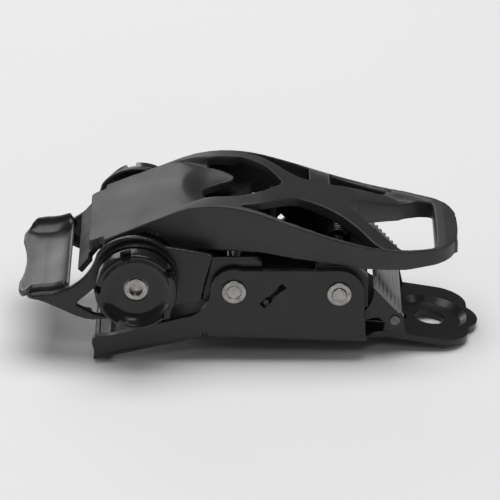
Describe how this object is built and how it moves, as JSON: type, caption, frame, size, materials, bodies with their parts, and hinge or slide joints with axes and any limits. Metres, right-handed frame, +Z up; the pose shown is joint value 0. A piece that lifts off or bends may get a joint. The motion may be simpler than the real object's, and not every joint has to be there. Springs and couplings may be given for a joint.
{
  "type": "webbing tensioner",
  "caption": "Lever-operated webbing tensioner with a ratchet spool between round knobs, a stamped channel frame, a ribbed release pad and a dished anchor eye.",
  "frame": {"origin": "under the middle of the overall box, on the plane of the anchor eye's collar", "axes": "+X from the thumb rest towards the anchor tongue, +Y across along the spool axle, +Z up from the frame's floor to the lever"},
  "size_m": [0.151, 0.0748, 0.0543],
  "materials": {
    "frame_black": "satin black coating over stamped steel",
    "lever_black": "satin black coated die casting",
    "knob_black": "glossy black moulding",
    "bright_steel": "bright plated steel",
    "grey_steel": "grey phosphated steel",
    "dark_steel": "dark steel",
    "spring_steel": "spring wire",
    "pad_grey": "matte grey ribbed moulding"
  },
  "bodies": {
    "frame": {"frame": "frame_black", "yoke_bushes": "bright_steel", "yoke_pin": "bright_steel", "latch_bushes": "bright_steel", "latch_pin": "bright_steel", "pad_pin": "dark_steel", "yoke_spring": "spring_steel", "latch_spring": "spring_steel", "pad_spring": "spring_steel"},
    "yoke": {"yoke": "frame_black", "spool_bushes": "grey_steel", "pawl_guide": "dark_steel", "hold_springs": "spring_steel"},
    "hold_pawl": {"hold_pawl": "dark_steel"},
    "spool": {"upper_spool_half": "grey_steel", "lower_spool_half": "grey_steel", "near_wheel": "grey_steel", "far_wheel": "grey_steel", "spool_washers": "grey_steel", "near_knob": "knob_black", "far_knob": "knob_black", "near_knob_rivet": "bright_steel", "far_knob_rivet": "bright_steel"},
    "lever": {"lever": "lever_black", "spool_guard": "dark_steel", "guard_rivets": "grey_steel", "drive_spring": "spring_steel"},
    "drive_pawl": {"drive_pawl": "dark_steel"},
    "latch": {"latch_cam": "dark_steel"},
    "release": {"release_bracket": "frame_black", "release_pad": "pad_grey"}
  },
  "joints": [
    {"name": "yoke_swing", "type": "hinge", "parent": "frame", "child": "yoke", "pos_m": [-0.0052, 0, 0.0262], "axis": [0, 1, 0], "range_deg": [-5, 0], "stiffness_Nm_per_rad": 2, "springref_deg": 14.32},
    {"name": "lever_swing", "type": "hinge", "parent": "yoke", "child": "lever", "pos_m": [-0.0368, 0, 0.0301], "axis": [0, -1, 0], "range_deg": [0, 120]},
    {"name": "spool_spin", "type": "hinge", "parent": "yoke", "child": "spool", "pos_m": [-0.0368, 0, 0.0301], "axis": [0, 1, 0], "continuous": true},
    {"name": "hold_pawl_slide", "type": "slide", "parent": "yoke", "child": "hold_pawl", "axis": [0.9903, 0, -0.1392], "range_m": [0, 0.002], "stiffness_N_per_m": 400, "springref_m": -0.001, "deforming": ["hold_springs"]},
    {"name": "drive_pawl_slide", "type": "slide", "parent": "lever", "child": "drive_pawl", "axis": [-0.9272, 0, -0.3746], "range_m": [0, 0.0019], "stiffness_N_per_m": 400, "springref_m": -0.001},
    {"name": "pad_press", "type": "hinge", "parent": "frame", "child": "release", "pos_m": [0.0473, 0, 0.0145], "axis": [0, -1, 0], "range_deg": [0, 5], "stiffness_Nm_per_rad": 0.3, "springref_deg": -8.59},
    {"name": "latch_swing", "type": "hinge", "parent": "frame", "child": "latch", "pos_m": [0.029, 0, 0.0254], "axis": [0, -1, 0], "range_deg": [-5, 0]}
  ],
  "couplings": [
    {"joint": "latch_swing", "follows": "pad_press", "ratio": -1}
  ]
}
